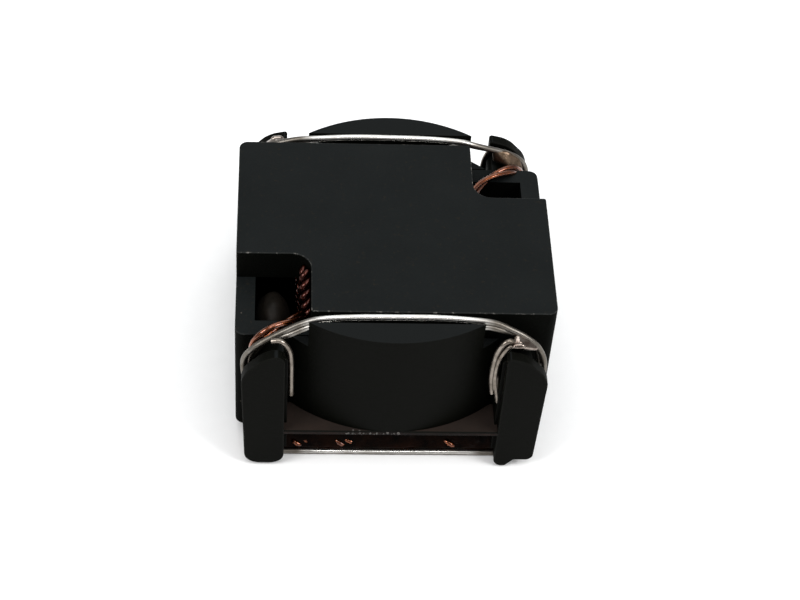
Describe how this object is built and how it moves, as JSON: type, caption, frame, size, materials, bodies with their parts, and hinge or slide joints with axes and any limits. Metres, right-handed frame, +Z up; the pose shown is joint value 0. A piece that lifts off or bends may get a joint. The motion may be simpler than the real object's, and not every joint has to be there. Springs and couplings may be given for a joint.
{
  "type": "shielded smd inductor",
  "caption": "Low square power inductor: ferrite block with notched lid on a black moulded header, round front and rear faces, bare wires looped over corner posts as solder terminals.",
  "frame": {"origin": "middle of the part on the board plane, at the underside of the terminal wires", "axes": "+Z up, away from the board; X runs along the terminal wires, across the width of the ferrite block; Y runs from the front terminal wire (-Y) to the rear one (+Y)"},
  "size_m": [0.0122, 0.0122, 0.0078],
  "materials": {
    "ferrite": "dark grey sintered ferrite, fine matt grain, edges slightly chipped",
    "enamelled_copper": "copper wire with clear reddish enamel, glossy",
    "moulded_plastic": "black moulded thermoset, satin",
    "tinned_wire": "dip-tinned wire, bright with dull patches"
  },
  "bodies": {
    "root": {"ferrite_lid": "ferrite", "ferrite_cup": "ferrite", "winding": "enamelled_copper", "header": "moulded_plastic", "front_lead": "enamelled_copper", "rear_lead": "enamelled_copper", "front_terminal": "tinned_wire", "rear_terminal": "tinned_wire", "front_second_strand": "tinned_wire", "rear_second_strand": "tinned_wire", "front_single_tail": "tinned_wire", "rear_single_tail": "tinned_wire", "front_upper_tail": "tinned_wire", "rear_upper_tail": "tinned_wire", "front_lower_tail": "tinned_wire", "rear_lower_tail": "tinned_wire"}
  },
  "joints": []
}
